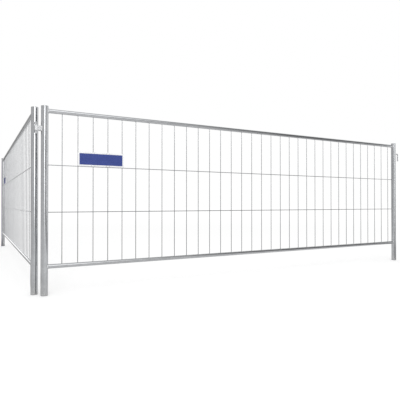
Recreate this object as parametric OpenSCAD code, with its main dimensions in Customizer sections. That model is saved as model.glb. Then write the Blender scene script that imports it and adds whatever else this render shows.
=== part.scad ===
// Low site fence: two mesh panels of welded steel tube and wire, hooked together at a corner.
// Millimetres, +Z up. The origin is on the floor, on the axis of the front panel's corner post.
// The front panel runs along +X with its outer face towards -Y. The side panel is the same panel,
// turned about the front panel's eye, in which its hook hangs.

/* [Panel] */
// Height of a panel over its post caps
panel_height = 1200; // [1000:5:2000]
// Distance between the axes of a panel's two posts
post_spacing = 3395; // [1500:5:4000]
// Angle between the two panels at the corner
corner_angle = 90; // [60:1:180]

/* [Posts] */
// Outside diameter of a post tube
post_d = 45; // [36:0.1:48]
// Wall of a post tube
post_wall = 2; // [1:0.1:4]
// Thickness of the disc that closes a post
cap_t = 2; // [1:0.1:5]
// Bevel round the top of a post cap
cap_bevel = 0.8; // [0.2:0.1:0.9]

/* [Rails] */
// Outside diameter of a rail tube
rail_d = 28; // [20:0.5:34]
// Wall of a rail tube
rail_wall = 1.5; // [0.8:0.1:3]
// Depth of the top rail's axis below the panel's top
top_rail_drop = 30; // [20:1:80]
// Height of the bottom rail's axis above the floor
bottom_rail_z = 182; // [40:1:300]

/* [Mesh] */
// Diameter of the upright wires
wire_d = 4.5; // [2.5:0.1:6]
// Diameter of the cross wires
cross_wire_d = 5; // [2.5:0.1:6]
// Distance between upright wires
wire_pitch = 100; // [40:1:150]
// Distance from the left post's axis to the first upright wire
first_wire_x = 107; // [50:1:150]
// Distance between the two cross wires
cross_wire_pitch = 300; // [100:5:400]

/* [Hook] */
// Diameter of the hook's bar
hook_d = 12; // [10:0.5:18]
// Distance from the post's axis to the prong's axis
hook_reach = 66; // [56:1:90]
// Depth of the hook arm's axis below the panel's top
hook_drop = 106; // [60:1:300]
// Radius of the hook's bend at the middle of the bar
hook_bend_r = 16; // [12:1:25]
// Length of the prong that shows below the eye
prong_proud = 20; // [5:1:60]
// Bevel at the tip of the prong
prong_bevel = 2; // [0.5:0.5:4]

/* [Eye] */
// Distance from the post's axis to the middle of the eye's bend
eye_reach = 52; // [46:1:80]
// Height of the eye's strap
eye_h = 30; // [20:1:50]
// Thickness of the eye's strap
eye_t = 6; // [3:0.5:8]
// Straight prong between the hook's bend and the eye's top
eye_headroom = 8; // [4:1:20]
// Gap all round between the prong and the eye's bend
prong_clearance = 0.8; // [0.3:0.1:0.9]

/* [Sign] */
// Width of the sign plate
sign_w = 312; // [200:1:400]
// Height of the sign plate
sign_h = 95; // [60:1:200]
// Thickness of the sign plate
sign_t = 2; // [1:0.1:4]
// Radius of the plate's corners
sign_corner_r = 4; // [1:0.5:10]
// Step of the plate's middle to the right of the middle between its two wires
sign_shift = 5; // [0:1:30]
// Width of the plate's bare margin round the film
sign_margin = 10; // [8:0.5:25]
// Thickness of the coloured film
film_t = 0.4; // [0.2:0.1:1]

/* [Sign fixings] */
// Length of a clip strip
clip_l = 34; // [30:1:60]
// Height of a clip strip
clip_h = 9; // [6:0.5:9.5]
// Thickness of a clip strip
clip_t = 1.5; // [1:0.1:3]
// Distance between the two rivets of a clip
rivet_pitch = 22; // [14:1:24]
// Diameter of a rivet's shank
rivet_d = 3.2; // [2.4:0.1:4]
// Diameter of a rivet's heads
rivet_head_d = 7; // [5:0.5:7.5]
// Height of a rivet's heads
rivet_head_h = 1.2; // [0.6:0.1:2]

/* [Hidden] */
$fn = 64;

// Gap left at welded joints and where round faces meet
joint_gap = 0.2;
// Gap round a rivet in its hole
rivet_gap = 0.1;
// Overrun of a cut past the face it opens
overrun = 5;
// Crown of a rivet's head as a share of the head's diameter
rivet_crown_share = 0.6;

// Heights
post_l = panel_height - cap_t;
top_rail_z = panel_height - top_rail_drop;
mesh_middle_z = (top_rail_z + bottom_rail_z) / 2;
upper_cross_z = mesh_middle_z + cross_wire_pitch / 2;
lower_cross_z = mesh_middle_z - cross_wire_pitch / 2;
hook_arm_z = panel_height - hook_drop;
prong_top_z = hook_arm_z - hook_bend_r;
eye_z = prong_top_z - eye_headroom - eye_h;
prong_tip_z = eye_z - prong_proud;

// Mesh: the upright wires lie behind the frame's middle plane and the cross wires in front of it
wire_y = (wire_d + joint_gap) / 2;
cross_wire_y = -(cross_wire_d + joint_gap) / 2;
wire_count = floor((post_spacing - first_wire_x - post_d) / wire_pitch) + 1;

// Sign: it stands on the upper cross wire, against the third and fourth upright wires
clip_wires = [2, 3];
sign_x = first_wire_x + (clip_wires[0] + clip_wires[1]) / 2 * wire_pitch + sign_shift;
sign_z = upper_cross_z + cross_wire_d / 2 + joint_gap;
sign_back_y = wire_y - wire_d / 2 - joint_gap;
clip_y = wire_y + wire_d / 2 + joint_gap;
rivet_rows = [sign_z + sign_margin / 2, sign_z + sign_h - sign_margin / 2];

// Eye
eye_inner_r = hook_d / 2 + prong_clearance;
eye_outer_r = eye_inner_r + eye_t;

// Colours
tube_colour = "silver";
wire_colour = "gainsboro";
bar_colour = "darkgray";
plate_colour = "whitesmoke";
film_colour = "darkslateblue";

// Shared shapes

// A tube that stands on z = 0
module tube(d, wall, l) {
    difference() {
        cylinder(d = d, h = l);
        translate([0, 0, -overrun])
            cylinder(d = d - 2 * wall, h = l + 2 * overrun);
    }
}

// Turns what stands on z = 0 to lie along +X at height z
module along_panel(z) {
    translate([0, 0, z])
        rotate([0, 90, 0])
            children();
}

// Takes both posts, with the joint's gap, out of what runs between them
module saddle_cut_to_posts() {
    difference() {
        children();
        for (x = [0, post_spacing])
            translate([x, 0, -overrun])
                cylinder(d = post_d + 2 * joint_gap, h = panel_height + 2 * overrun);
    }
}

// A plate of width w and height h with round corners, standing in the panel's plane, front face at y = 0
module upright_plate(w, h, t, r) {
    rotate([90, 0, 0])
        mirror([0, 0, 1])
            linear_extrude(t)
                union() {
                    translate([-w / 2 + r, 0])
                        square([w - 2 * r, h]);
                    translate([-w / 2, r])
                        square([w, h - 2 * r]);
                    for (x = [-1, 1], z = [r, h - r])
                        translate([x * (w / 2 - r), z])
                            circle(r);
                }
}

// Puts its children at each rivet's axis
module at_rivets() {
    for (i = clip_wires, side = [-1, 1], z = rivet_rows)
        translate([first_wire_x + i * wire_pitch + side * rivet_pitch / 2, 0, z])
            children();
}

// Holes for the rivets through a plate
module rivet_holes(y, t) {
    at_rivets()
        translate([0, y - overrun, 0])
            rotate([-90, 0, 0])
                cylinder(d = rivet_d + 2 * rivet_gap, h = t + 2 * overrun);
}

// Pieces of one panel

module post() {
    color(tube_colour)
        tube(post_d, post_wall, post_l);
}

module left_post() {
    post();
}

module right_post() {
    translate([post_spacing, 0, 0])
        post();
}

module post_caps() {
    color(tube_colour)
        for (x = [0, post_spacing])
            translate([x, 0, post_l]) {
                cylinder(d = post_d, h = cap_t - cap_bevel);
                translate([0, 0, cap_t - cap_bevel])
                    cylinder(d1 = post_d, d2 = post_d - 2 * cap_bevel, h = cap_bevel);
            }
}

module rail(z) {
    color(tube_colour)
        saddle_cut_to_posts()
            along_panel(z)
                tube(rail_d, rail_wall, post_spacing);
}

module top_rail() {
    rail(top_rail_z);
}

module bottom_rail() {
    rail(bottom_rail_z);
}

module upright_wires() {
    color(wire_colour)
        difference() {
            for (i = [0 : wire_count - 1])
                translate([first_wire_x + i * wire_pitch, wire_y, bottom_rail_z])
                    cylinder(d = wire_d, h = top_rail_z - bottom_rail_z);
            for (z = [bottom_rail_z, top_rail_z])
                along_panel(z)
                    cylinder(d = rail_d + 2 * joint_gap, h = post_spacing);
        }
}

module cross_wire(z) {
    color(wire_colour)
        saddle_cut_to_posts()
            translate([0, cross_wire_y, 0])
                along_panel(z)
                    cylinder(d = cross_wire_d, h = post_spacing);
}

module upper_cross_wire() {
    cross_wire(upper_cross_z);
}

module lower_cross_wire() {
    cross_wire(lower_cross_z);
}

// The arm leaves the right post along +X, and the bend turns it down into the prong
module hook() {
    color(bar_colour)
        saddle_cut_to_posts()
            translate([post_spacing, 0, 0]) {
                along_panel(hook_arm_z)
                    cylinder(d = hook_d, h = hook_reach - hook_bend_r);
                translate([hook_reach - hook_bend_r, 0, prong_top_z])
                    rotate([90, 0, 0])
                        rotate_extrude(angle = 90)
                            translate([hook_bend_r, 0])
                                circle(d = hook_d);
                translate([hook_reach, 0, prong_tip_z + prong_bevel])
                    cylinder(d = hook_d, h = prong_top_z - prong_tip_z - prong_bevel);
                translate([hook_reach, 0, prong_tip_z])
                    cylinder(d1 = hook_d - 2 * prong_bevel, d2 = hook_d, h = prong_bevel);
            }
}

// A strap that leaves the left post along -X, turns round the prong's axis and comes back
module eye() {
    color(bar_colour)
        saddle_cut_to_posts()
            translate([0, 0, eye_z])
                linear_extrude(eye_h)
                    difference() {
                        strap_outline(eye_outer_r);
                        strap_outline(eye_inner_r);
                    }
}

// A bar of half-width r from the prong's axis to the post's axis, with a round outer end
module strap_outline(r) {
    translate([-eye_reach, 0])
        circle(r);
    translate([-eye_reach, -r])
        square([eye_reach, 2 * r]);
}

module sign_plate() {
    color(plate_colour)
        difference() {
            translate([sign_x, sign_back_y - sign_t, sign_z])
                upright_plate(sign_w, sign_h, sign_t, sign_corner_r);
            rivet_holes(sign_back_y - sign_t, sign_t);
        }
}

module sign_film() {
    color(film_colour)
        translate([sign_x, sign_back_y - sign_t - film_t, sign_z + sign_margin])
            upright_plate(sign_w - 2 * sign_margin, sign_h - 2 * sign_margin, film_t, film_t);
}

// Strips behind the wires, one at each wire and rivet row
module sign_clips() {
    color(bar_colour)
        difference() {
            for (i = clip_wires, z = rivet_rows)
                translate([first_wire_x + i * wire_pitch, clip_y, z - clip_h / 2])
                    upright_plate(clip_l, clip_h, clip_t, clip_t);
            rivet_holes(clip_y, clip_t);
        }
}

module sign_rivets() {
    color(tube_colour)
        at_rivets()
            translate([0, sign_back_y - sign_t, 0])
                rotate([-90, 0, 0])
                    rivet(clip_y + clip_t - sign_back_y + sign_t);
}

// A rivet that grips a stack of thickness grip, from z = 0 up
module rivet(grip) {
    crown_d = rivet_head_d * rivet_crown_share;
    translate([0, 0, -rivet_head_h])
        cylinder(d1 = crown_d, d2 = rivet_head_d, h = rivet_head_h);
    cylinder(d = rivet_d, h = grip);
    translate([0, 0, grip])
        cylinder(d1 = rivet_head_d, d2 = crown_d, h = rivet_head_h);
}

// Hangs a whole panel's piece by the panel's hook in the front panel's eye
module side_panel() {
    translate([-eye_reach, 0, 0])
        rotate(corner_angle + 180)
            translate([-post_spacing - hook_reach, 0, 0])
                children();
}

left_post();  // front_left_post
right_post();  // front_right_post
post_caps();  // front_post_caps
top_rail();  // front_top_rail
bottom_rail();  // front_bottom_rail
upright_wires();  // front_upright_wires
upper_cross_wire();  // front_upper_cross_wire
lower_cross_wire();  // front_lower_cross_wire
hook();  // front_hook
eye();  // front_eye
sign_plate();  // front_sign_plate
sign_film();  // front_sign_film
sign_clips();  // front_sign_clips
sign_rivets();  // front_sign_rivets
side_panel() left_post();  // side_left_post
side_panel() right_post();  // side_right_post
side_panel() post_caps();  // side_post_caps
side_panel() top_rail();  // side_top_rail
side_panel() bottom_rail();  // side_bottom_rail
side_panel() upright_wires();  // side_upright_wires
side_panel() upper_cross_wire();  // side_upper_cross_wire
side_panel() lower_cross_wire();  // side_lower_cross_wire
side_panel() hook();  // side_hook
side_panel() eye();  // side_eye
side_panel() sign_plate();  // side_sign_plate
side_panel() sign_film();  // side_sign_film
side_panel() sign_clips();  // side_sign_clips
side_panel() sign_rivets();  // side_sign_rivets
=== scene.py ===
"""Looks of two temporary fence panels that are hooked together at a corner.

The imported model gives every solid. This file gives the solids their finishes, adds the weld metal that joins
them, and sets up a plain studio with a camera. It is laid out as an add-on and is run as a script.
"""

import math

import bpy
import numpy as np
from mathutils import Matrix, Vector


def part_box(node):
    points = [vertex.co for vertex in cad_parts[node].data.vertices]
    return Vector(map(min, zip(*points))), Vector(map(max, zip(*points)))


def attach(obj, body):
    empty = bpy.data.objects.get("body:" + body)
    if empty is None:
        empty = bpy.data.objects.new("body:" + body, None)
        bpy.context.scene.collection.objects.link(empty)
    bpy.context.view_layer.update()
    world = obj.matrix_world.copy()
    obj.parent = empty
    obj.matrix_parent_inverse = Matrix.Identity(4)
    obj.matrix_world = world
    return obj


bl_info = {
    "name": "Temporary fence panels",
    "version": (1, 0, 0),
    "blender": (4, 5, 0),
    "location": "3D View > Sidebar > Fence",
    "description": "Finishes, weld metal and studio for a hooked pair of mesh fence panels",
    "category": "Object",
}

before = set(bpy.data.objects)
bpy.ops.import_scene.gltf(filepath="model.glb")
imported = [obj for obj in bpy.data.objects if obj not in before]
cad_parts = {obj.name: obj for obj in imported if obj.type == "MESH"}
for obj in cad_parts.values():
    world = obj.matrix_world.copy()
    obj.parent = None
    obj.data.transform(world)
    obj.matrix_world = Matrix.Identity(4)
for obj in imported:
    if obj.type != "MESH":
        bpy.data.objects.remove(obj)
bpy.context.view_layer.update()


# Measures of a panel, read from the solids, in metres

def middle(node):
    """The centre of a node's box: half the sum of its lowest and highest corners."""
    low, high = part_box(node)
    return ((np.array(low) + np.array(high)) / 2).tolist()


def half_size(node):
    """Half of the lengths of a node's box."""
    low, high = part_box(node)
    return ((np.array(high) - np.array(low)) / 2).tolist()


POST_RADIUS = half_size("front_left_post")[0]
POST_LINES = (0.0, middle("front_right_post")[0])
POST_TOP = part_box("front_left_post")[1].z
RAIL_RADIUS = half_size("front_top_rail")[2]
RAIL_HEIGHTS = (middle("front_bottom_rail")[2], middle("front_top_rail")[2])
WIRE_RADIUS = half_size("front_upright_wires")[1]
CROSS_RADIUS = half_size("front_upper_cross_wire")[2]
WIRE_DEPTH = middle("front_upright_wires")[1]
CROSS_DEPTH = middle("front_upper_cross_wire")[1]
CROSSING_DEPTH = (WIRE_DEPTH - WIRE_RADIUS + CROSS_DEPTH + CROSS_RADIUS) / 2
CROSS_HEIGHTS = (middle("front_lower_cross_wire")[2], middle("front_upper_cross_wire")[2])
FIRST_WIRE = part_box("front_upright_wires")[0].x + WIRE_RADIUS
LAST_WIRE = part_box("front_upright_wires")[1].x - WIRE_RADIUS
HOOK_RADIUS = half_size("front_hook")[1]
HOOK_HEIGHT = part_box("front_hook")[1].z - HOOK_RADIUS
EYE_HEIGHT = middle("front_eye")[2]
EYE_HALF_HEIGHT = half_size("front_eye")[2]
EYE_HALF_WIDTH = half_size("front_eye")[1]
# The thickness of an eye's strap is the one measure that no box gives
EYE_STRAP = 0.006

PANELS = {
    "front": ("front_panel", middle("front_left_post")[:2], 0.0),
    "side": ("side_panel", middle("side_left_post")[:2], -math.pi / 2),
}


# Sizes, colours and studio settings that a user may change

def length_setting(name, description, default, low, high):
    """A length in metres, from low to high."""
    return bpy.props.FloatProperty(
        name=name, description=description, default=default, min=low, max=high, precision=4, unit="LENGTH")


def colour_setting(name, description, default):
    """A colour, each of its parts from 0 to 1."""
    return bpy.props.FloatVectorProperty(
        name=name, description=description, default=default, min=0.0, max=1.0, size=3, subtype="COLOR")


class FenceWeldSizes(bpy.types.PropertyGroup):
    """Sizes of the weld metal."""

    rail_bead: length_setting(
        "Rail bead", "Radius of the weld bead between a rail and a post", 0.0031, 0.0005, 0.008)
    bar_bead: length_setting(
        "Hook and eye bead", "Radius of the weld bead at a hook or an eye", 0.0026, 0.0005, 0.006)
    cap_seam: length_setting(
        "Cap seam", "Radius of the thin seam between a cap and the top of its post", 0.0007, 0.0002, 0.002)
    wire_bead: length_setting(
        "Wire bead", "Radius of the small weld round the end of a wire", 0.0010, 0.0002, 0.003)
    nugget: length_setting(
        "Crossing nugget", "Half of the width of the spot weld where two wires cross", 0.0022, 0.0005, 0.004)
    wire_pitch: length_setting("Wire pitch", "Distance from one upright wire to the next", 0.1, 0.02, 0.5)


class FenceFinishes(bpy.types.PropertyGroup):
    """Colours and gloss of the finishes."""

    tube_colour: colour_setting("Tube zinc", "Colour of the zinc on posts and rails", (0.390, 0.397, 0.408))
    wire_colour: colour_setting("Wire zinc", "Colour of the zinc on the mesh wires", (0.365, 0.373, 0.387))
    bar_colour: colour_setting("Bar zinc", "Colour of the zinc on hooks and eyes", (0.46, 0.466, 0.474))
    weld_colour: colour_setting("Weld zinc", "Colour of the zinc on the weld metal", (0.62, 0.626, 0.634))
    sign_white: colour_setting("Sign white", "Colour of the coated sign plate", (0.87, 0.875, 0.88))
    sign_blue: colour_setting("Sign blue", "Colour of the film on the sign plate", (0.040, 0.063, 0.245))
    clip_colour: colour_setting("Clip steel", "Colour of the clips behind the sign", (0.46, 0.465, 0.47))
    rivet_colour: colour_setting("Rivet aluminium", "Colour of the rivets", (0.68, 0.685, 0.69))
    tube_roughness: bpy.props.FloatProperty(
        name="Tube roughness", description="Middle roughness of the zinc on posts and rails",
        default=0.10, min=0.02, max=1.0, subtype="FACTOR")
    wire_roughness: bpy.props.FloatProperty(
        name="Wire roughness", description="Middle roughness of the zinc on the mesh wires",
        default=0.20, min=0.02, max=1.0, subtype="FACTOR")


class FenceStudio(bpy.types.PropertyGroup):
    """Camera and light of the studio."""

    camera_place: bpy.props.FloatVectorProperty(
        name="Camera place", description="Where the camera stands",
        default=(-0.3818, -2.7448, 0.5814), size=3, subtype="TRANSLATION", unit="LENGTH")
    camera_turn: bpy.props.FloatVectorProperty(
        name="Camera turn", description="How the camera is turned",
        default=(math.radians(90.4916), 0.0, math.radians(-28.7038)),
        size=3, subtype="EULER", unit="ROTATION")
    lens: bpy.props.FloatProperty(
        name="Lens", description="Focal length of the camera on a 36 mm sensor",
        default=36.869, min=10.0, max=200.0, unit="CAMERA")
    sky_level: bpy.props.FloatProperty(
        name="Sky level", description="Strength of the soft light from all round",
        default=0.85, min=0.0, max=2.0)
    key_power: bpy.props.FloatProperty(
        name="Key power", description="Power of the soft lamp in front of the fence",
        default=190.0, min=0.0, max=2000.0, unit="POWER")
    lit_level: bpy.props.FloatProperty(
        name="Lit band",
        description="How much brighter than its surroundings the upright lit band of the screen is",
        default=5.5, min=0.0, max=12.0)
    near_lift: bpy.props.FloatProperty(
        name="Near floor glow", description="Glow of the floor by the fence that brings it up to white",
        default=0.28, min=0.0, max=1.0)
    far_lift: bpy.props.FloatProperty(
        name="Far floor glow", description="Glow of the far floor that brings it up to white",
        default=0.34, min=0.0, max=1.0)


# Surfaces

def smooth_step(value, start, end):
    """Rises from 0 at start to 1 at end as 3 t squared less 2 t cubed."""
    t = np.clip((value - start) / (end - start), 0.0, 1.0)
    return t * t * (3.0 - 2.0 * t)


def unit(vectors):
    """Each vector divided by its length."""
    return vectors / np.linalg.norm(vectors, axis=-1, keepdims=True)


def ring_faces(stations, around, closed):
    """Quads between neighbouring rings of a tube. The last ring meets the first where the tube is closed."""
    ring = np.arange(stations if closed else stations - 1)[:, None]
    step = np.arange(around)[None, :]
    next_ring = (ring + 1) % stations
    next_step = (step + 1) % around
    corners = [ring * around + step, next_ring * around + step,
               next_ring * around + next_step, ring * around + next_step]
    return np.stack(corners, axis=-1).reshape(-1, 4)


def bead(path, outward, radius, closed):
    """A round bead carried along a path, as a grid of stations by steps round.

    The tangent is the difference of a station's neighbours. The outward direction less its part along the
    tangent, and its cross product with the tangent, span the ring. A point is the path's point plus the
    radius times the cosine of the angle along the first direction and its sine along the second. The radius
    is given for each station and each step.
    """
    if closed:
        tangent = unit(np.roll(path, -1, axis=0) - np.roll(path, 1, axis=0))
    else:
        tangent = unit(np.gradient(path, axis=0))
    first = unit(outward - np.sum(outward * tangent, axis=1, keepdims=True) * tangent)
    second = np.cross(tangent, first)
    angle = np.linspace(0.0, 2.0 * math.pi, radius.shape[1], endpoint=False)[None, :, None]
    ring = np.cos(angle) * first[:, None, :] + np.sin(angle) * second[:, None, :]
    return path[:, None, :] + radius[:, :, None] * ring


# How far a bead's scale falls and is held back at the sides, and the slow wave's height, count and start
SCALE_FALL = 0.16
SCALE_BEND = 0.35
SLOW_WAVE = 0.05
SLOW_WAVES = 3.0
SLOW_START = 0.7
# The least that is left of an open bead at its ends, before the root
LEAST_FADE = 0.02
# Directions in a panel's own frame, and the way that the inner side of a pair of tubes faces
UP = (0, 0, 1)
ALONG = (1, 0, 0)
FACINGS = (1.0, -1.0)


def rippled(stations, around, size, ripples):
    """The radius of a hand-laid bead: overlapping scales, each highest at its start and falling as a square.

    The scale's phase runs along the bead and is held back at the sides, which bends the scales to crescents.
    A slow wave makes the bead a little uneven.
    """
    along = np.arange(stations)[:, None] / stations
    angle = np.linspace(0.0, 2.0 * math.pi, around, endpoint=False)[None, :]
    phase = (along * ripples + SCALE_BEND * np.cos(angle)) % 1.0
    slow = SLOW_WAVE * np.sin(2.0 * math.pi * SLOW_WAVES * along + SLOW_START)
    return size * (1.0 - SCALE_FALL * phase ** 2 + slow)


def saddle(big_axis, small_axis, centre, big_radius, small_radius, stations):
    """The line where a thin tube meets a thick one, and the direction that points out of the corner there.

    With the angle running round the thin tube, a point lies at offset plus r times the cosine across both
    axes, at r times the sine along the thick axis, and at the root of the thick radius squared less the first
    squared along the thin axis. The direction is the sum of the two tubes' normals.
    """
    big_axis = np.array(big_axis, float)
    small_axis = np.array(small_axis, float)
    centre = np.array(centre, float)
    across_axis = np.cross(big_axis, small_axis)
    offset = float(centre @ across_axis)
    base = centre - offset * across_axis
    angle = np.linspace(0.0, 2.0 * math.pi, stations, endpoint=False)[:, None]
    across = offset + small_radius * np.cos(angle)
    along = small_radius * np.sin(angle)
    out = np.sqrt(big_radius ** 2 - across ** 2)
    points = base + across * across_axis + along * big_axis + out * small_axis
    big_normal = (across * across_axis + out * small_axis) / big_radius
    small_normal = np.cos(angle) * across_axis + np.sin(angle) * big_axis
    return points, unit(big_normal + small_normal)


def saddle_bead(big_axis, small_axis, level, big_radius, small_radius, size, ripples, stations, around):
    """A closed bead on the line where a thin tube meets a thick one.

    Level is a point of the thin tube's axis, taken from the thick tube's axis.
    """
    path, outward = saddle(big_axis, small_axis, level, big_radius, small_radius, stations)
    radius = rippled(stations, around, size, ripples)
    return bead(path, outward, radius, True).reshape(-1, 3), ring_faces(stations, around, True)


def cap_seam(line, size, stations=96, around=8, ripples=32):
    """A closed bead on the circle where a cap meets the top of its post."""
    angle = np.linspace(0.0, 2.0 * math.pi, stations, endpoint=False)
    outward = np.stack([np.cos(angle), np.sin(angle), np.zeros(stations)], axis=1)
    path = np.array([line, 0.0, POST_TOP]) + POST_RADIUS * outward
    seam = bead(path, outward, rippled(stations, around, size, ripples), True)
    return seam.reshape(-1, 3), ring_faces(stations, around, True)


def strap_bead(side, size, stations=72, around=10, ripples=16):
    """An open bead in the form of a C round the outer edge of an eye's strap, on the post's surface.

    In the post's unrolled face the line is half of a rounded box: the strap's thickness times the third root
    of the cosine, and half of its height times the third root of the sine. Depth follows from the post's
    circle. The radius fades to the ends as the fourth root of one less the run to the fourth power.
    """
    run = np.linspace(-1.0, 1.0, stations)
    turn = run * math.pi / 2
    width = np.cbrt(np.clip(np.cos(turn), 0.0, 1.0)) * EYE_STRAP
    height = np.sign(turn) * np.cbrt(np.abs(np.sin(turn))) * EYE_HALF_HEIGHT
    across = side * (EYE_HALF_WIDTH - EYE_STRAP + width)
    depth = -np.sqrt(POST_RADIUS ** 2 - across ** 2)
    path = np.stack([depth, across, EYE_HEIGHT + height], axis=1)
    post_normal = np.stack([depth, across, np.zeros(stations)], axis=1) / POST_RADIUS
    edge_normal = np.stack([np.zeros(stations), side * width / EYE_STRAP, height / EYE_HALF_HEIGHT], axis=1)
    fade = np.clip(1.0 - run ** 4, LEAST_FADE, 1.0) ** 0.25
    radius = rippled(stations, around, size, ripples) * fade[:, None]
    points = bead(path, unit(post_normal + edge_normal), radius, False).reshape(-1, 3)
    step = np.arange(around)
    ends = np.stack([step[::-1], (stations - 1) * around + step])
    return points, ring_faces(stations, around, False), ends


def nugget_shape(size, around=8, flatness=0.45, ring_latitude=48.0):
    """A flat spot weld: three latitude rings of a ball and its two poles, squeezed across the wires."""
    latitude = np.radians([-ring_latitude, 0.0, ring_latitude])[:, None]
    angle = np.linspace(0.0, 2.0 * math.pi, around, endpoint=False)[None, :]
    x = np.cos(latitude) * np.cos(angle)
    y = flatness * np.sin(latitude) * np.ones_like(angle)
    z = np.cos(latitude) * np.sin(angle)
    rings = np.stack([x, y, z], axis=-1).reshape(-1, 3)
    poles = np.array([[0.0, -flatness, 0.0], [0.0, flatness, 0.0]])
    step = np.arange(around)
    after = (step + 1) % around
    low_pole = np.stack([np.full(around, 3 * around), after, step], axis=1)
    high_pole = np.stack([np.full(around, 3 * around + 1), 2 * around + step, 2 * around + after], axis=1)
    points = size * np.vstack([rings, poles])
    return points, ring_faces(3, around, False), np.vstack([low_pole, high_pole])


def repeated(shape, places):
    """One shape set down at some places: its points plus each place, its faces counted on for each copy.

    A shape is its points, then a list of faces for each number of corners.
    """
    points, *kinds = shape
    all_points = (np.array(places, float)[:, None, :] + points[None, :, :]).reshape(-1, 3)
    shift = np.arange(len(places))[:, None, None] * len(points)
    return all_points, *[(faces[None, :, :] + shift).reshape(-1, faces.shape[1]) for faces in kinds]


def joined(shapes):
    """Several shapes as one, each shape's faces counted on from the points before it."""
    all_points = []
    all_faces = []
    count = 0
    for points, *kinds in shapes:
        for faces in kinds:
            all_faces += (faces + count).tolist()
        all_points.append(points)
        count += len(points)
    return np.vstack(all_points), all_faces


def in_frame(points, panel):
    """A panel's own points in the shared frame: turned about the left post's line, then moved to it."""
    _, place, turn = PANELS[panel]
    x = place[0] + math.cos(turn) * points[:, 0] - math.sin(turn) * points[:, 1]
    y = place[1] + math.sin(turn) * points[:, 0] + math.cos(turn) * points[:, 1]
    return np.stack([x, y, points[:, 2]], axis=1)


def wire_lines(sizes):
    """The places of the upright wires along the panel, a pitch apart from the first to the last."""
    count = int(round((LAST_WIRE - FIRST_WIRE) / sizes.wire_pitch)) + 1
    return np.linspace(FIRST_WIRE, LAST_WIRE, count)


def mesh_object(name, points, faces):
    """A smooth mesh object at the origin, its faces turned outwards by the sign of its volume."""
    mesh = bpy.data.meshes.new(name)
    mesh.from_pydata(points.tolist(), [], faces)
    mesh.validate()
    mesh.calc_loop_triangles()
    corners = np.empty(len(mesh.loop_triangles) * 3, np.int32)
    mesh.loop_triangles.foreach_get("vertices", corners)
    a, b, c = points[corners].reshape(-1, 3, 3).transpose(1, 0, 2)
    if np.sum(a * np.cross(b, c)) < 0:
        mesh.flip_normals()
    mesh.polygons.foreach_set("use_smooth", np.ones(len(mesh.polygons), bool))
    mesh.update()
    made = bpy.data.objects.new(name, mesh)
    bpy.context.scene.collection.objects.link(made)
    return made


def weld_piece(panel, name, shapes):
    """A weld piece of one panel: its shapes joined, put in the shared frame, finished and set to ride."""
    points, faces = joined(shapes)
    piece = mesh_object(f"{panel}_{name}", in_frame(points, panel), faces)
    piece.data.materials.append(weld_material())
    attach(piece, PANELS[panel][0])
    return piece


# Shader nodes

def add_node(tree, kind, values=None, **settings):
    """A node with its settings, and with a value or a link for each input that is named."""
    made = tree.nodes.new(kind)
    for name, value in settings.items():
        setattr(made, name, value)
    for name, value in (values or {}).items():
        if isinstance(value, bpy.types.NodeSocket):
            tree.links.new(value, made.inputs[name])
        else:
            made.inputs[name].default_value = value
    return made


def calculate(tree, operation, first, second):
    """A Math node's result."""
    return add_node(tree, "ShaderNodeMath", {0: first, 1: second}, operation=operation).outputs[0]


def remap(tree, value, low, high, to_low, to_high):
    """A value carried from one range to another, held at its ends."""
    numbers = {"Value": value, "From Min": low, "From Max": high, "To Min": to_low, "To Max": to_high}
    return add_node(tree, "ShaderNodeMapRange", numbers).outputs["Result"]


def mix_value(tree, share, first, second):
    """Two numbers mixed by a share."""
    return add_node(tree, "ShaderNodeMix", {0: share, 2: first, 3: second}).outputs[0]


def mix_colour(tree, share, first, second):
    """Two colours mixed by a share."""
    return add_node(tree, "ShaderNodeMix", {0: share, 6: first, 7: second}, data_type="RGBA").outputs[2]


def vector_math(tree, operation, first, second):
    """A Vector Math node's result."""
    return add_node(tree, "ShaderNodeVectorMath", {0: first, 1: second}, operation=operation).outputs[0]


def noise(tree, place, scale, detail, **more):
    """The outputs of a Noise node. Its other inputs are given by their names."""
    values = {"Vector": place, "Scale": scale, "Detail": detail, **more}
    return add_node(tree, "ShaderNodeTexNoise", values).outputs


def new_group(name, inputs, outputs):
    """An empty shader group that takes a position and the named inputs, and its inner ends."""
    group = bpy.data.node_groups.new(name, "ShaderNodeTree")
    for label, default in {"Position": (0, 0, 0), **inputs}.items():
        kind = "NodeSocketVector" if isinstance(default, tuple) else "NodeSocketFloat"
        group.interface.new_socket(label, in_out="INPUT", socket_type=kind).default_value = default
    for label in outputs:
        group.interface.new_socket(label, in_out="OUTPUT", socket_type="NodeSocketFloat")
    return group, group.nodes.new("NodeGroupInput").outputs, group.nodes.new("NodeGroupOutput").inputs


def crystal_group():
    """Zinc crystals: cells with wavy borders, each with its own tone, and a height that dips between them."""
    group, given, result = new_group("Zinc crystals", {"Crystals per metre": 130.0}, ["Tone", "Height"])
    waves = noise(group, given["Position"], 240.0, 1.0)
    centred = vector_math(group, "SUBTRACT", waves["Color"], (0.5, 0.5, 0.5))
    sway = vector_math(group, "MULTIPLY", centred, (0.006, 0.006, 0.006))
    moved = vector_math(group, "ADD", given["Position"], sway)
    cells = add_node(group, "ShaderNodeTexVoronoi", {"Vector": moved, "Scale": given["Crystals per metre"]})
    tone = add_node(group, "ShaderNodeSeparateColor", {"Color": cells.outputs["Color"]})
    group.links.new(tone.outputs["Red"], result["Tone"])
    group.links.new(remap(group, cells.outputs["Distance"], 0.0, 0.7, 1.0, 0.0), result["Height"])
    return group


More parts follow.
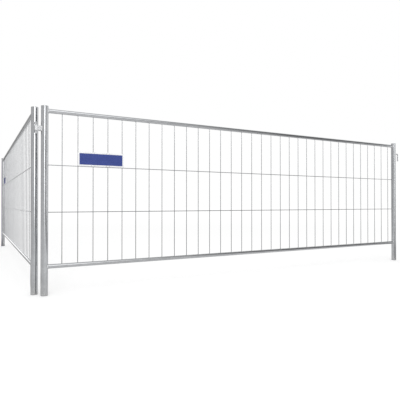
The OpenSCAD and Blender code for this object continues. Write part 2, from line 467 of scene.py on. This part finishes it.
def drawn_group():
    """Drawn lines: noise that is stretched along the metal, as rolling and drawing leave it."""
    group, given, result = new_group("Drawn lines", {"Stretch": (900, 900, 12)}, ["Tone"])
    stretched = vector_math(group, "MULTIPLY", given["Position"], given["Stretch"])
    lines = noise(group, stretched, 1.0, 3.0, Roughness=0.6)
    group.links.new(remap(group, lines["Fac"], 0.3, 0.7, 0.0, 1.0), result["Tone"])
    return group


def patch_group():
    """Weathered patches: soft clouds of tone, larger than the grain of the metal."""
    group, given, result = new_group("Weathered patches", {"Patches per metre": 14.0}, ["Tone"])
    clouds = noise(group, given["Position"], given["Patches per metre"], 2.5)
    group.links.new(remap(group, clouds["Fac"], 0.32, 0.68, 0.0, 1.0), result["Tone"])
    return group


def scuff_group():
    """Handling scuffs: the crests of stretched noise, kept only where a cloud is dense."""
    inputs = {"Stretch": (260, 260, 40), "Amount": 0.5}
    group, given, result = new_group("Handling scuffs", inputs, ["Mask"])
    stretched = vector_math(group, "MULTIPLY", given["Position"], given["Stretch"])
    marks = noise(group, stretched, 1.0, 2.0, Distortion=0.6)
    crests = remap(group, marks["Fac"], 0.60, 0.70, 0.0, 1.0)
    clouds = noise(group, given["Position"], 9.0, 1.0)
    dense = remap(group, clouds["Fac"], 0.48, 0.62, 0.0, 1.0)
    kept = calculate(group, "MULTIPLY", crests, dense)
    group.links.new(calculate(group, "MULTIPLY", kept, given["Amount"]), result["Mask"])
    return group


def dust_and_painted_shade_group():
    """Ground dust: a mask that is strongest at the floor, fades out at a height and is broken up by noise.

    Its plain ramp falls evenly from the floor to that height; it carries painted shade, not dust.
    """
    group, given, result = new_group("Ground dust and painted shade", {"Height": 0.12}, ["Mask", "Fade"])
    level = add_node(group, "ShaderNodeSeparateXYZ", {0: given["Position"]})
    climbed = calculate(group, "DIVIDE", level.outputs["Z"], given["Height"])
    held = calculate(group, "MAXIMUM", calculate(group, "SUBTRACT", 1.0, climbed), 0.0)
    specks = noise(group, given["Position"], 85.0, 4.0)
    broken = remap(group, specks["Fac"], 0.38, 0.66, 0.15, 1.0)
    squared = calculate(group, "MULTIPLY", held, held)
    group.links.new(calculate(group, "MULTIPLY", squared, broken), result["Mask"])
    group.links.new(held, result["Fade"])
    return group


GROUP_MAKERS = {"Zinc crystals": crystal_group, "Drawn lines": drawn_group, "Weathered patches": patch_group,
                "Handling scuffs": scuff_group, "Ground dust and painted shade": dust_and_painted_shade_group}


def use_group(tree, name, place, inputs=None):
    """The outputs of a shader group placed in a material. The group is made when it is first used."""
    group = bpy.data.node_groups.get(name) or GROUP_MAKERS[name]()
    values = {"Position": place, **(inputs or {})}
    return add_node(tree, "ShaderNodeGroup", values, node_tree=group).outputs


def bare_material(name):
    """A new material, its node tree and the surface that a shader is linked to."""
    material = bpy.data.materials.new(name)
    material.use_nodes = True
    tree = material.node_tree
    tree.nodes.clear()
    return material, tree, tree.nodes.new("ShaderNodeOutputMaterial").inputs["Surface"]


def new_material(name, **constants):
    """A material with a Principled shader, its constant inputs set on the shader's own sockets."""
    material, tree, surface = bare_material(f"fence_{name}")
    values = {label.replace("_", " "): value for label, value in constants.items()}
    shader = add_node(tree, "ShaderNodeBsdfPrincipled", values)
    tree.links.new(shader.outputs["BSDF"], surface)
    place = tree.nodes.new("ShaderNodeTexCoord").outputs["Object"]
    return material, tree, shader.inputs, place


def link_finish(tree, inputs, colour, roughness, normal):
    """Links a finish to the inputs of its shader."""
    tree.links.new(colour, inputs["Base Color"])
    tree.links.new(roughness, inputs["Roughness"])
    tree.links.new(normal, inputs["Normal"])


def shade(colour, factor):
    """A colour with each of its parts times a factor, with full alpha."""
    return (*[min(1.0, part * factor) for part in colour], 1.0)


def bump_normal(tree, height, strength, distance):
    """The normal of a bump of that height."""
    values = {"Height": height, "Strength": strength, "Distance": distance}
    return add_node(tree, "ShaderNodeBump", values).outputs["Normal"]


# Shares in the tone of zinc, the shine of its scuffs, the dust on its feet and the depth of its relief
LINES_IN_GRAIN = 0.42
PATCHES_IN_TONE = 0.35
SCUFF_SHINE = 1.16
DUST_COLOUR = (0.40, 0.385, 0.36)
DUST_COVER = 0.35
DUST_ROUGHNESS = 0.25
ZINC_DEPTH = 0.0002
# How far a scratch in a coat is turned to pale grey, that grey, and how much rougher the scratch is
SCRATCH_SHARE = 0.15
SCRATCH_GREY = 0.8
SCRATCH_ROUGHNESS = 0.18


def zinc_material(name, colour, roughness, stretch, crystals, contrast, relief, dusty=False, painted_ground_shade=0.0):
    """Zinc on steel: crystals and drawn lines set the tone and the gloss, and patches drift over them.

    Scuffs are brighter. Dust dulls the feet where asked. Painted shade, where asked, darkens the zinc evenly
    towards the ground.
    """
    material, tree, inputs, place = new_material(name, Metallic=1.0)
    cells = use_group(tree, "Zinc crystals", place, {"Crystals per metre": crystals})
    lines = use_group(tree, "Drawn lines", place, {"Stretch": stretch})
    patches = use_group(tree, "Weathered patches", place)
    scuffs = use_group(tree, "Handling scuffs", place)
    grain = mix_value(tree, LINES_IN_GRAIN, cells["Tone"], lines["Tone"])
    tone = mix_value(tree, PATCHES_IN_TONE, grain, patches["Tone"])
    metal = mix_colour(tree, tone, shade(colour, 1.0 - contrast), shade(colour, 1.0 + contrast))
    metal = mix_colour(tree, scuffs["Mask"], metal, shade(colour, SCUFF_SHINE))
    gloss = remap(tree, tone, 0.2, 0.8, roughness * 1.25, roughness * 0.8)
    if dusty:
        dust = use_group(tree, "Ground dust and painted shade", place)
        share = calculate(tree, "MULTIPLY", dust["Mask"], DUST_COVER)
        metal = mix_colour(tree, share, metal, shade(DUST_COLOUR, 1.0))
        gloss = calculate(tree, "ADD", gloss, calculate(tree, "MULTIPLY", dust["Mask"], DUST_ROUGHNESS))
    # Painted shade: the zinc is mixed towards black, more strongly the nearer it is to the ground
    if painted_ground_shade:
        fade = use_group(tree, "Ground dust and painted shade", place, {"Height": POST_TOP})["Fade"]
        metal = mix_colour(tree, calculate(tree, "MULTIPLY", fade, painted_ground_shade), metal, shade(colour, 0.0))
    height = mix_value(tree, 0.5, cells["Height"], lines["Tone"])
    link_finish(tree, inputs, metal, gloss, bump_normal(tree, height, relief, ZINC_DEPTH))
    return material


def weld_material():
    """Zinc over weld metal: fine crystals, darker hollows and a duller gloss than the drawn tube."""
    known = bpy.data.materials.get("fence_weld_zinc")
    if known:
        return known
    colour = bpy.context.scene.fence_finishes.weld_colour
    material, tree, inputs, place = new_material("weld_zinc", Metallic=1.0)
    cells = use_group(tree, "Zinc crystals", place, {"Crystals per metre": 420.0})
    patches = use_group(tree, "Weathered patches", place, {"Patches per metre": 160.0})
    tone = mix_value(tree, 0.5, cells["Tone"], patches["Tone"])
    metal = mix_colour(tree, tone, shade(colour, 0.84), shade(colour, 1.12))
    gloss = remap(tree, tone, 0.1, 0.9, 0.42, 0.24)
    link_finish(tree, inputs, metal, gloss, bump_normal(tree, patches["Tone"], 0.25, 0.0003))
    return material


def coated_material(name, colour, roughness, specular):
    """A coated or filmed plate: faint mottling, a fine orange-peel surface and scratches that are paler."""
    material, tree, inputs, place = new_material(name, Metallic=0.0, Specular_IOR_Level=specular)
    patches = use_group(tree, "Weathered patches", place, {"Patches per metre": 22.0})
    peel = use_group(tree, "Weathered patches", place, {"Patches per metre": 900.0})
    scuffs = use_group(tree, "Handling scuffs", place, {"Stretch": (70, 500, 900), "Amount": 0.35})
    paint = mix_colour(tree, patches["Tone"], shade(colour, 0.96), shade(colour, 1.04))
    pale = [part * (1.0 - SCRATCH_SHARE) + SCRATCH_SHARE * SCRATCH_GREY for part in colour]
    paint = mix_colour(tree, scuffs["Mask"], paint, shade(pale, 1.0))
    worn = calculate(tree, "MULTIPLY", scuffs["Mask"], SCRATCH_ROUGHNESS)
    gloss = calculate(tree, "ADD", remap(tree, patches["Tone"], 0.0, 1.0, roughness, roughness * 1.2), worn)
    link_finish(tree, inputs, paint, gloss, bump_normal(tree, peel["Tone"], 0.06, 0.0001))
    return material


def brushed_material(name, colour, roughness, stretch):
    """Brushed bare metal: drawn lines set the tone, the gloss and a shallow relief."""
    material, tree, inputs, place = new_material(name, Metallic=1.0)
    lines = use_group(tree, "Drawn lines", place, {"Stretch": stretch})
    patches = use_group(tree, "Weathered patches", place, {"Patches per metre": 60.0})
    tone = mix_value(tree, 0.4, lines["Tone"], patches["Tone"])
    metal = mix_colour(tree, tone, shade(colour, 0.9), shade(colour, 1.08))
    gloss = remap(tree, tone, 0.0, 1.0, roughness * 1.2, roughness * 0.85)
    link_finish(tree, inputs, metal, gloss, bump_normal(tree, lines["Tone"], 0.15, 0.0001))
    return material


def lines_along(axis, fineness):
    """The stretch of drawn lines that run along an axis: how fine they are across it, and along it."""
    across, along = fineness
    return tuple(along if name == axis else across for name in "xyz")


def dress(nodes, material):
    """Puts a material on every slot of the named solids."""
    for name in nodes:
        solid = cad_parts[name]
        if not solid.material_slots:
            raise RuntimeError(f"{name} has no material slot")
        for slot in solid.material_slots:
            slot.material = material


# Operators for the solids' finishes

# The way each panel's rails run
RUN_AXES = {"front": "x", "side": "y"}
# How fine drawn lines are across the metal and along it, and on clips and rivets along each axis
TUBE_LINES = (900, 10)
WIRE_LINES = (2200, 14)
BAR_LINES = (500, 160)
CLIP_LINES = (60, 60, 1400)
RIVET_LINES = (1600, 1600, 300)
# Crystals per metre, contrast of their tone and strength of the relief
TUBE_GRAIN = {"crystals": 120.0, "contrast": 0.15, "relief": 0.05}
WIRE_GRAIN = {"crystals": 420.0, "contrast": 0.04, "relief": 0.06}
BAR_GRAIN = {"crystals": 200.0, "contrast": 0.08, "relief": 0.06}
BAR_ROUGHNESS = 0.24
CLIP_ROUGHNESS = 0.34
RIVET_ROUGHNESS = 0.3
# How much painted shade darkens each panel's wires at the ground: the front panel's wires get it, the side
# panel's do not
WIRE_PAINTED_SHADE = {"front": 0.75, "side": 0.0}


class FENCE_OT_tubes(bpy.types.Operator):
    """Finish the posts, their caps and the rails as galvanised tube."""

    bl_idname = "fence.tubes"
    bl_label = "Posts and rails"

    def execute(self, context):
        looks = context.scene.fence_finishes
        finish = (looks.tube_colour, looks.tube_roughness)
        upright = zinc_material("post_zinc", *finish, lines_along("z", TUBE_LINES), dusty=True, **TUBE_GRAIN)
        posts = ("left_post", "right_post", "post_caps")
        dress([f"{panel}_{name}" for panel in PANELS for name in posts], upright)
        for panel, axis in RUN_AXES.items():
            rail = zinc_material(f"{panel}_rail_zinc", *finish, lines_along(axis, TUBE_LINES), **TUBE_GRAIN)
            dress([f"{panel}_top_rail", f"{panel}_bottom_rail"], rail)
        return {"FINISHED"}


class FENCE_OT_wires(bpy.types.Operator):
    """Finish the mesh wires as galvanised wire, with drawn lines along each; the front ones get painted shade
    downwards.
    """

    bl_idname = "fence.wires"
    bl_label = "Mesh wires"

    def execute(self, context):
        looks = context.scene.fence_finishes
        finish = (looks.wire_colour, looks.wire_roughness)
        for panel, axis in RUN_AXES.items():
            grain = {**WIRE_GRAIN, "painted_ground_shade": WIRE_PAINTED_SHADE[panel]}
            stretch = lines_along("z", WIRE_LINES)
            upright = zinc_material(f"{panel}_upright_wire_zinc", *finish, stretch, **grain)
            dress([f"{panel}_upright_wires"], upright)
            stretch = lines_along(axis, WIRE_LINES)
            cross = zinc_material(f"{panel}_cross_wire_zinc", *finish, stretch, **grain)
            dress([f"{panel}_upper_cross_wire", f"{panel}_lower_cross_wire"], cross)
        return {"FINISHED"}


class FENCE_OT_hooks(bpy.types.Operator):
    """Finish the hooks and eyes as hot-dipped bar."""

    bl_idname = "fence.hooks"
    bl_label = "Hooks and eyes"

    def execute(self, context):
        colour = context.scene.fence_finishes.bar_colour
        bar = zinc_material("bar_zinc", colour, BAR_ROUGHNESS, lines_along("z", BAR_LINES), **BAR_GRAIN)
        dress([f"{panel}_{name}" for panel in PANELS for name in ("hook", "eye")], bar)
        return {"FINISHED"}


class FENCE_OT_signs(bpy.types.Operator):
    """Finish the sign plates, their film, the clips and the rivets."""

    bl_idname = "fence.signs"
    bl_label = "Signs"

    def execute(self, context):
        looks = context.scene.fence_finishes
        finishes = {
            "sign_plate": coated_material("sign_white", looks.sign_white, roughness=0.34, specular=0.4),
            "sign_film": coated_material("sign_blue", looks.sign_blue, roughness=0.32, specular=0.3),
            "sign_clips": brushed_material("clip_steel", looks.clip_colour, CLIP_ROUGHNESS, CLIP_LINES),
            "sign_rivets": brushed_material(
                "rivet_aluminium", looks.rivet_colour, RIVET_ROUGHNESS, RIVET_LINES),
        }
        for name, material in finishes.items():
            dress([f"{panel}_{name}" for panel in PANELS], material)
        return {"FINISHED"}


# Operators for the weld metal

# The bead at a cross wire's end against the bead at an upright wire's end
CROSS_BEAD = 1.3


class FENCE_OT_rail_welds(bpy.types.Operator):
    """Lay the beads between rails and posts, and the thin seams under the caps."""

    bl_idname = "fence.rail_welds"
    bl_label = "Rail welds and cap seams"

    def execute(self, context):
        sizes = context.scene.fence_weld_sizes
        for panel in PANELS:
            shapes = []
            for line, facing in zip(POST_LINES, FACINGS):
                for height in RAIL_HEIGHTS:
                    shape = saddle_bead(UP, (facing, 0, 0), (0, 0, height), POST_RADIUS, RAIL_RADIUS,
                                        sizes.rail_bead, ripples=28, stations=168, around=12)
                    shapes.append(repeated(shape, [(line, 0, 0)]))
            weld_piece(panel, "rail_welds", shapes)
            shapes = [cap_seam(line, sizes.cap_seam) for line in POST_LINES]
            weld_piece(panel, "cap_seams", shapes)
        return {"FINISHED"}


class FENCE_OT_hook_welds(bpy.types.Operator):
    """Lay the bead round each hook's arm and the two beads that hold each eye's strap."""

    bl_idname = "fence.hook_welds"
    bl_label = "Hook and eye welds"

    def execute(self, context):
        size = context.scene.fence_weld_sizes.bar_bead
        for panel in PANELS:
            shape = saddle_bead(UP, ALONG, (0, 0, HOOK_HEIGHT), POST_RADIUS, HOOK_RADIUS,
                                size, ripples=15, stations=90, around=12)
            weld_piece(panel, "hook_weld", [repeated(shape, [(POST_LINES[1], 0, 0)])])
            shapes = [strap_bead(side, size) for side in (-1.0, 1.0)]
            weld_piece(panel, "eye_welds", shapes)
        return {"FINISHED"}


class FENCE_OT_wire_welds(bpy.types.Operator):
    """Lay the small welds at the ends of the wires and the spot welds where they cross."""

    bl_idname = "fence.wire_welds"
    bl_label = "Wire welds"

    def execute(self, context):
        sizes = context.scene.fence_weld_sizes
        lines = wire_lines(sizes)
        cross_bead = sizes.wire_bead * CROSS_BEAD
        for panel in PANELS:
            shapes = []
            for height, facing in zip(RAIL_HEIGHTS, FACINGS):
                shape = saddle_bead(ALONG, (0, 0, facing), (0, WIRE_DEPTH, 0), RAIL_RADIUS, WIRE_RADIUS,
                                    sizes.wire_bead, ripples=3, stations=12, around=4)
                shapes.append(repeated(shape, [(line, 0, height) for line in lines]))
            weld_piece(panel, "wire_end_welds", shapes)
            shapes = []
            for line, facing in zip(POST_LINES, FACINGS):
                for height in CROSS_HEIGHTS:
                    shape = saddle_bead(UP, (facing, 0, 0), (0, CROSS_DEPTH, height), POST_RADIUS,
                                        CROSS_RADIUS, cross_bead, ripples=6, stations=36, around=8)
                    shapes.append(repeated(shape, [(line, 0, 0)]))
            weld_piece(panel, "cross_wire_welds", shapes)
            places = [(line, CROSSING_DEPTH, height) for height in CROSS_HEIGHTS for line in lines]
            nuggets = repeated(nugget_shape(sizes.nugget), places)
            weld_piece(panel, "crossing_welds", [nuggets])
        return {"FINISHED"}


# Operator for the stage

WHITE = (1.0, 1.0, 1.0, 1.0)
STAGE_CENTRE = (1.7, 1.75)
FLOOR_RADIUS = 60.0
FLOOR_FIRST_RING = 0.5
FLOOR_DROP = -0.0005
FLOOR_COLOUR = (0.80, 0.80, 0.80, 1.0)
LIFT_SPAN = (2.0, 14.0)
SCREEN_RADIUS = 30.0
SCREEN_TOP = 75.0
SCREEN_CLEARANCE = 0.002
KEY_SIZE = 5.0
KEY_PLACE = (-1.5, -6.5, 5.0)
KEY_TURN = (math.radians(60.0), 0.0, math.radians(-22.0))
SENSOR_WIDTH = 36.0
NEAREST_SEEN = 0.05
FARTHEST_SEEN = 300.0


def seen_ray(tree):
    """1 for camera, glossy and transmission rays, 0 for the rest."""
    path = tree.nodes.new("ShaderNodeLightPath").outputs
    seen = calculate(tree, "MAXIMUM", path["Is Camera Ray"], path["Is Glossy Ray"])
    return calculate(tree, "MAXIMUM", seen, path["Is Transmission Ray"])


def glow_attribute(made, name, values):
    """A number for each point of a mesh, which its material reads."""
    attribute = made.data.attributes.new(name, "FLOAT", "POINT")
    attribute.data.foreach_set("value", values.astype(np.float32).ravel())


def floor_object(near_lift, far_lift):
    """A round floor: rings of a polar grid with a pole in the middle.

    It is pale and diffuse. A faint glow for the rays that see it, which grows smoothly with the distance,
    brings it up to white and keeps the shadow.
    """
    circles, around = 40, 96
    reach = np.geomspace(FLOOR_FIRST_RING, FLOOR_RADIUS, circles)[:, None]
    angle = np.linspace(0.0, 2.0 * math.pi, around, endpoint=False)[None, :]
    rings = np.stack([STAGE_CENTRE[0] + reach * np.cos(angle), STAGE_CENTRE[1] + reach * np.sin(angle),
                      np.full((circles, around), FLOOR_DROP)], axis=-1).reshape(-1, 3)
    points = np.vstack([rings, [[*STAGE_CENTRE, FLOOR_DROP]]])
    step = np.arange(around)
    fan = np.stack([np.full(around, len(rings)), step, (step + 1) % around], axis=1)
    floor = mesh_object("studio_floor", points, fan.tolist() + ring_faces(circles, around, False).tolist())
    lift = near_lift + (far_lift - near_lift) * smooth_step(reach, *LIFT_SPAN)
    glow_attribute(floor, "lift", np.append(np.repeat(lift, around), near_lift))
    material, tree, surface = bare_material("studio_floor")
    pale = add_node(tree, "ShaderNodeBsdfDiffuse", {"Color": FLOOR_COLOUR})
    value = add_node(tree, "ShaderNodeAttribute", attribute_name="lift").outputs["Fac"]
    strength = calculate(tree, "MULTIPLY", seen_ray(tree), value)
    glow = add_node(tree, "ShaderNodeEmission", {"Color": WHITE, "Strength": strength})
    both = add_node(tree, "ShaderNodeAddShader", {0: pale.outputs[0], 1: glow.outputs[0]})
    tree.links.new(both.outputs[0], surface)
    floor.data.materials.append(material)
    return floor


# Level of the studio screen by azimuth, counted from +X towards +Y, at some elevations. White is 1.
SCREEN_LEVELS = {
    -30: ((0, 1.0), (225, 1.0), (240, 1.2), (268, 1.2), (280, 1.05), (289, 0.75), (298, 0.6), (318, 0.62),
          (328, 0.75), (345, 0.95), (360, 1.0)),
    0: ((0, 1.12), (30, 1.05), (50, 1.0), (76, 1.0), (88, 1.4), (96, 1.4), (98.5, 0.5), (106, 0.4),
        (138, 0.4), (147, 0.95), (150, 0.9), (225, 0.95), (270, 0.95), (275, 0.65), (311, 0.5), (314, 2.3),
        (350, 2.3), (354, 1.2), (360, 1.12)),
    5: ((0, 1.16), (30, 1.08), (50, 1.0), (76, 1.0), (88, 1.7), (102, 1.7), (106, 0.4), (138, 0.4),
        (147, 0.95), (150, 0.9), (225, 0.95), (270, 0.98), (275, 0.82), (303, 0.7), (311, 0.5), (314, 2.3),
        (350, 2.3), (354, 1.25), (360, 1.16)),
    9: ((0, 1.2), (30, 1.1), (50, 1.0), (76, 1.0), (88, 1.7), (102, 1.7), (106, 0.4), (138, 0.4),
        (147, 0.95), (150, 0.9), (225, 0.95), (270, 1.0), (276, 0.95), (299, 0.9), (306, 0.5), (311, 0.5),
        (314, 2.3), (350, 2.3), (354, 1.3), (360, 1.2)),
    13: ((0, 1.1), (102, 1.0), (110, 0.6), (138, 0.6), (150, 0.9), (225, 0.95), (270, 1.0), (276, 0.95),
         (299, 0.9), (306, 0.5), (311, 0.5), (314, 2.0), (350, 2.0), (360, 1.1)),
    20: ((0, 1.0), (240, 1.0), (250, 2.5), (281, 2.3), (288, 1.9), (293, 1.4), (298, 0.9), (302, 0.6),
         (306, 0.36), (311, 0.25), (328, 0.25), (334, 0.5), (342, 0.9), (350, 1.0), (360, 1.0)),
    50: ((0, 1.0), (240, 1.0), (250, 2.5), (281, 2.3), (293, 1.4), (306, 0.4), (311, 0.25), (328, 0.25),
         (342, 0.9), (350, 1.0), (360, 1.0)),
    74: ((0, 1.0), (360, 1.0)),
}
# The lit band: its share of the lit level by azimuth, and by elevation
LIT_BAND = ((255, 0.0), (256, 1.0), (266, 1.0), (267, 0.0))
LIT_CLIMB = ((-30, 0.0), (-8, 0.11), (-4, 0.22), (-1.2, 0.27), (1.8, 0.45), (4.7, 0.65), (7, 0.8), (12, 1.0),
             (20, 1.0), (30, 0.0))
# Cards that only show in reflections: level, two corners along one edge, and the step to the opposite edge
CARDS = {
    "studio_flag": (0.25, (4.2, -2.8, 0.01), (6.2, -2.08, 0.01), (0.0, 0.0, 3.99)),
    "studio_back_card": (0.45, (-1.2, 5.0, 1.18), (0.9, 5.0, 1.18), (0.0, 0.0, 2.02)),
    # The floor card is painted shade: a darker sheet on the floor along the side panel, standing in for the
    # floor's shade there in the rails' reflections
    "studio_painted_floor_shade": (0.45, (-0.7, 0.3, 0.003), (0.1, 0.3, 0.003), (0.0, 5.2, 0.0)),
    "studio_sign_strip": (0.05, (-0.9, 5.0, 0.93), (0.0, 5.0, 0.93), (0.0, 0.0, 0.2)),
    "studio_front_card": (0.45, (0.0, -3.0, 1.0), (2.3, -3.0, 1.0), (0.0, 0.0, 0.5)),
}
# How far the fence reaches from the middle of the stage, and its middle height
FENCE_REACH = 2.5
FENCE_MIDDLE = 0.7


def knots(value, table):
    """A broken line through a table of places and heights."""
    places, heights = np.array(table).T
    return np.interp(value, places, heights)


def screen_level(azimuth, elevation, lit):
    """The screen's level: between the tables of the two nearest elevations, plus the lit band."""
    tables = np.stack([knots(azimuth, table) for table in SCREEN_LEVELS.values()])
    place = np.interp(elevation, list(SCREEN_LEVELS), np.arange(len(tables)))
    lower = np.minimum(place.astype(int), len(tables) - 2)
    share = (place - lower)[:, None]
    level = tables[lower] * (1.0 - share) + tables[lower + 1] * share
    return level + lit * knots(elevation, LIT_CLIMB)[:, None] * knots(azimuth, LIT_BAND)


def screen_object(lit):
    """A round studio screen about the fence, which only shows in its reflections.

    It is a grid of azimuth by rows. The first rows lie just over the floor and run outwards, and the rest
    climb a ball by elevation. A floor row counts as the elevation at which the fence's middle height sees it.
    """
    columns, sweep_rows, wall_rows = 360, 20, 76
    azimuth = np.arange(columns) * (360.0 / columns)
    reach = np.geomspace(FENCE_REACH, SCREEN_RADIUS, sweep_rows, endpoint=False)
    climb = np.linspace(0.0, SCREEN_TOP, wall_rows)
    distance = np.concatenate([reach, SCREEN_RADIUS * np.cos(np.radians(climb))])[None, :]
    rise = np.concatenate([np.zeros(sweep_rows), SCREEN_RADIUS * np.sin(np.radians(climb))])[None, :]
    angle = np.radians(azimuth)[:, None]
    points = np.stack([STAGE_CENTRE[0] + distance * np.cos(angle), STAGE_CENTRE[1] + distance * np.sin(angle),
                       SCREEN_CLEARANCE + rise * np.ones_like(angle)], axis=-1).reshape(-1, 3)
    sight = -np.degrees(np.arctan2(FENCE_MIDDLE, reach - FENCE_REACH))
    level = screen_level(azimuth, np.concatenate([sight, climb]), lit).T
    rows = sweep_rows + wall_rows
    column = np.arange(columns)[:, None]
    after = (column + 1) % columns
    row = np.arange(rows - 1)[None, :]
    corners = [column * rows + row, after * rows + row, after * rows + row + 1, column * rows + row + 1]
    screen = mesh_object("studio_screen", points, np.stack(corners, axis=-1).reshape(-1, 4).tolist())
    return reflected_only(screen, level)


def card_object(name, level, first, second, step):
    """A flat card of one level, a patch that runs straight between its four corners."""
    edge = np.array([first, second])
    corners = np.vstack([edge, edge[::-1] + np.array(step)])
    return reflected_only(mesh_object(name, corners, [[0, 1, 2, 3]]), np.full(4, level))


def reflected_only(made, level):
    """A stage piece that glows at the level given for each of its points, and only shows in reflections."""
    glow_attribute(made, "level", level)
    material = bpy.data.materials.get("studio_screen") or screen_material()
    made.data.materials.append(material)
    made.visible_camera = False
    made.visible_diffuse = False
    made.visible_shadow = False
    return made


def screen_material():
    """A plain glow whose strength is the level kept in the mesh."""
    material, tree, surface = bare_material("studio_screen")
    material.cycles.emission_sampling = "NONE"
    value = add_node(tree, "ShaderNodeAttribute", attribute_name="level").outputs["Fac"]
    light = add_node(tree, "ShaderNodeEmission", {"Color": WHITE, "Strength": value})
    tree.links.new(light.outputs[0], surface)
    return material


def studio_world(level):
    """A white world where a ray sees it, and a soft even light of the given level for the rest."""
    world = bpy.data.worlds.new("studio_world")
    world.use_nodes = True
    tree = world.node_tree
    tree.nodes.clear()
    strength = remap(tree, seen_ray(tree), 0.0, 1.0, level, 1.0)
    sky = add_node(tree, "ShaderNodeBackground", {"Color": WHITE, "Strength": strength})
    output = tree.nodes.new("ShaderNodeOutputWorld")
    tree.links.new(sky.outputs[0], output.inputs["Surface"])
    return world


class FENCE_OT_stage(bpy.types.Operator):
    """Set up the floor, the screen, the light and the camera."""

    bl_idname = "fence.stage"
    bl_label = "Studio"

    def execute(self, context):
        scene = context.scene
        studio = scene.fence_studio
        floor_object(studio.near_lift, studio.far_lift)
        screen_object(studio.lit_level)
        for name, card in CARDS.items():
            card_object(name, *card)
        scene.world = studio_world(studio.sky_level)
        lamp = bpy.data.lights.new("studio_key", "AREA")
        lamp.energy = studio.key_power
        lamp.size = KEY_SIZE
        key = bpy.data.objects.new("studio_key", lamp)
        key.location = KEY_PLACE
        key.rotation_euler = KEY_TURN
        key.visible_glossy = False
        key.visible_camera = False
        lens = bpy.data.cameras.new("photo_camera")
        lens.lens = studio.lens
        lens.sensor_width = SENSOR_WIDTH
        lens.clip_start = NEAREST_SEEN
        lens.clip_end = FARTHEST_SEEN
        camera = bpy.data.objects.new("photo_camera", lens)
        camera.location = studio.camera_place
        camera.rotation_euler = studio.camera_turn
        for made in (key, camera):
            scene.collection.objects.link(made)
        scene.camera = camera
        scene.view_settings.view_transform = "Standard"
        return {"FINISHED"}


# Sidebar panel

class FENCE_PT_sidebar(bpy.types.Panel):
    """Lists the steps and the settings of the fence."""

    bl_idname = "FENCE_PT_sidebar"
    bl_label = "Temporary fence"
    bl_space_type = "VIEW_3D"
    bl_region_type = "UI"
    bl_category = "Fence"

    def draw(self, context):
        layout = self.layout
        for step in STEPS:
            layout.operator(step.bl_idname)
        for label, settings in (("Weld sizes", context.scene.fence_weld_sizes),
                                ("Finishes", context.scene.fence_finishes),
                                ("Studio settings", context.scene.fence_studio)):
            box = layout.box()
            box.label(text=label)
            for name in settings.__annotations__:
                box.prop(settings, name)


STEPS = (FENCE_OT_tubes, FENCE_OT_wires, FENCE_OT_hooks, FENCE_OT_signs, FENCE_OT_rail_welds,
         FENCE_OT_hook_welds, FENCE_OT_wire_welds, FENCE_OT_stage)
SETTINGS = {"fence_weld_sizes": FenceWeldSizes, "fence_finishes": FenceFinishes, "fence_studio": FenceStudio}


def register():
    """Registers the settings, the steps and the panel."""
    for name, group in SETTINGS.items():
        bpy.utils.register_class(group)
        setattr(bpy.types.Scene, name, bpy.props.PointerProperty(type=group))
    for made in (*STEPS, FENCE_PT_sidebar):
        bpy.utils.register_class(made)


def unregister():
    """Takes the panel, the steps and the settings away again."""
    for made in (FENCE_PT_sidebar, *reversed(STEPS)):
        bpy.utils.unregister_class(made)
    for name, group in SETTINGS.items():
        delattr(bpy.types.Scene, name)
        bpy.utils.unregister_class(group)


def main():
    """Registers the add-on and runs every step."""
    register()
    bpy.ops.fence.tubes()
    bpy.ops.fence.wires()
    bpy.ops.fence.hooks()
    bpy.ops.fence.signs()
    bpy.ops.fence.rail_welds()
    bpy.ops.fence.hook_welds()
    bpy.ops.fence.wire_welds()
    bpy.ops.fence.stage()


if __name__ == "__main__":
    main()
